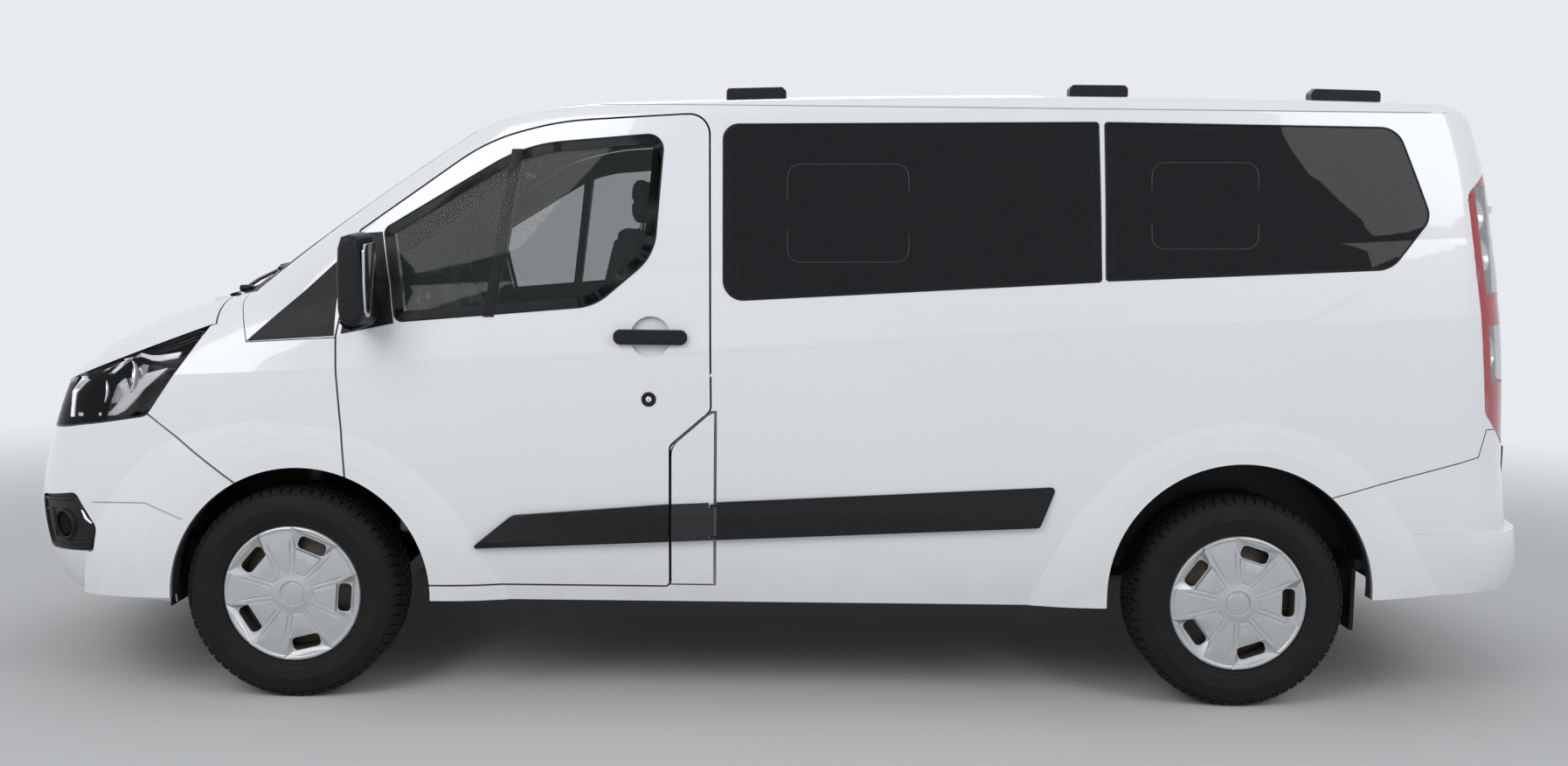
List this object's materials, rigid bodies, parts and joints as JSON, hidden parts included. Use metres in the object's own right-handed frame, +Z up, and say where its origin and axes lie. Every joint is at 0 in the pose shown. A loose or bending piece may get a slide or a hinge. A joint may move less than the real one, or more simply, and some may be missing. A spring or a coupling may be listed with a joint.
{
  "type": "minibus",
  "caption": "Long-nosed white passenger van with sliding side door, twin rear doors, hinged hood, dark side windows and steered, rolling wheels",
  "frame": {"origin": "on the ground under the middle of the outer box", "axes": "+X to the rear, +Y to the vehicle's right, +Z up; the front is at -X"},
  "size_m": [4.9742, 2.272, 1.9371],
  "materials": {
    "white_paint": "gloss",
    "black_plastic": "grained",
    "clear_glass": "polished",
    "dark_glass": "polished",
    "lamp_clear": "polished",
    "lamp_red": "polished",
    "underbody": "matte",
    "cabin_plastic": "grained",
    "seat_fabric": "woven",
    "cast_metal": "cast",
    "dark_steel": "painted",
    "tyre": "rubber",
    "wheel_silver": "satin"
  },
  "bodies": {
    "body": {"body_side_left": "white_paint", "body_side_right": "white_paint", "sliding_door": "white_paint", "side_glass": "dark_glass", "roof_panel": "white_paint", "body_trim": "black_plastic", "front_fenders": "white_paint", "front_bumper": "white_paint", "front_bumper_grilles": "black_plastic", "front_lamps": "lamp_clear", "tail_lamps": "lamp_red", "windshield": "clear_glass", "floor_pan": "underbody", "wheel_arch_liners": "black_plastic", "rear_bumper": "white_paint", "dashboard": "cabin_plastic", "seats": "seat_fabric", "engine_block": "cast_metal", "front_suspension": "dark_steel", "rear_suspension": "dark_steel", "fuel_tank": "black_plastic", "exhaust": "dark_steel"},
    "front_left_door": {"front_left_door": "white_paint", "front_left_door_glass": "clear_glass", "front_left_door_fittings": "black_plastic"},
    "front_right_door": {"front_right_door": "white_paint", "front_right_door_glass": "clear_glass", "front_right_door_fittings": "black_plastic"},
    "rear_left_door": {"rear_left_door": "white_paint", "rear_left_door_glass": "dark_glass"},
    "rear_right_door": {"rear_right_door": "white_paint", "rear_right_door_glass": "dark_glass"},
    "hood": {"hood": "white_paint"},
    "fuel_flap": {"fuel_flap": "white_paint"},
    "steering_wheel": {"steering_wheel": "cabin_plastic"},
    "front_left_knuckle": {"front_left_knuckle": "cast_metal"},
    "front_right_knuckle": {"front_right_knuckle": "cast_metal"},
    "front_left_wheel": {"front_left_tyre": "tyre", "front_left_wheel": "wheel_silver"},
    "front_right_wheel": {"front_right_tyre": "tyre", "front_right_wheel": "wheel_silver"},
    "rear_left_wheel": {"rear_left_tyre": "tyre", "rear_left_wheel": "wheel_silver"},
    "rear_right_wheel": {"rear_right_tyre": "tyre", "rear_right_wheel": "wheel_silver"}
  },
  "joints": [
    {"name": "front_left_steer", "type": "hinge", "parent": "body", "child": "front_left_knuckle", "pos_m": [-1.4565, -0.785, 0.33], "axis": [0, 0, 1], "range_deg": [-35, 35]},
    {"name": "front_right_steer", "type": "hinge", "parent": "body", "child": "front_right_knuckle", "pos_m": [-1.4565, 0.785, 0.33], "axis": [0, 0, 1], "range_deg": [-35, 35]},
    {"name": "steering_wheel_turn", "type": "hinge", "parent": "body", "child": "steering_wheel", "pos_m": [-0.96, -0.43, 1.17], "axis": [0.8829, 0, 0.4695], "range_deg": [-530, 530]},
    {"name": "front_left_roll", "type": "hinge", "parent": "front_left_knuckle", "child": "front_left_wheel", "pos_m": [-1.4565, -0.868, 0.33], "axis": [0, 1, 0], "continuous": true},
    {"name": "front_right_roll", "type": "hinge", "parent": "front_right_knuckle", "child": "front_right_wheel", "pos_m": [-1.4565, 0.868, 0.33], "axis": [0, 1, 0], "continuous": true},
    {"name": "rear_left_roll", "type": "hinge", "parent": "body", "child": "rear_left_wheel", "pos_m": [1.4765, -0.86, 0.33], "axis": [0, 1, 0], "continuous": true},
    {"name": "rear_right_roll", "type": "hinge", "parent": "body", "child": "rear_right_wheel", "pos_m": [1.4765, 0.86, 0.33], "axis": [0, 1, 0], "continuous": true},
    {"name": "front_left_door_hinge", "type": "hinge", "parent": "body", "child": "front_left_door", "pos_m": [-1.303, -0.99, 1], "axis": [0, 0, -1], "range_deg": [0, 65]},
    {"name": "front_right_door_hinge", "type": "hinge", "parent": "body", "child": "front_right_door", "pos_m": [-1.303, 0.99, 1], "axis": [0, 0, 1], "range_deg": [0, 65]},
    {"name": "rear_left_door_hinge", "type": "hinge", "parent": "body", "child": "rear_left_door", "pos_m": [2.31196, -0.717, 1.2], "axis": [0.1019, 0, -0.9948], "range_deg": [0, 90]},
    {"name": "rear_right_door_hinge", "type": "hinge", "parent": "body", "child": "rear_right_door", "pos_m": [2.31196, 0.717, 1.2], "axis": [-0.1019, 0, 0.9948], "range_deg": [0, 90]},
    {"name": "hood_hinge", "type": "hinge", "parent": "body", "child": "hood", "pos_m": [-1.68, 0, 1.24], "axis": [0, 1, 0], "range_deg": [0, 60]},
    {"name": "fuel_flap_hinge", "type": "hinge", "parent": "body", "child": "fuel_flap", "pos_m": [-0.158, -0.985, 0.64], "axis": [0, 0, 1], "range_deg": [0, 80]}
  ],
  "couplings": [
    {"joint": "front_right_steer", "follows": "front_left_steer", "ratio": 1},
    {"joint": "steering_wheel_turn", "follows": "front_left_steer", "ratio": 15}
  ]
}
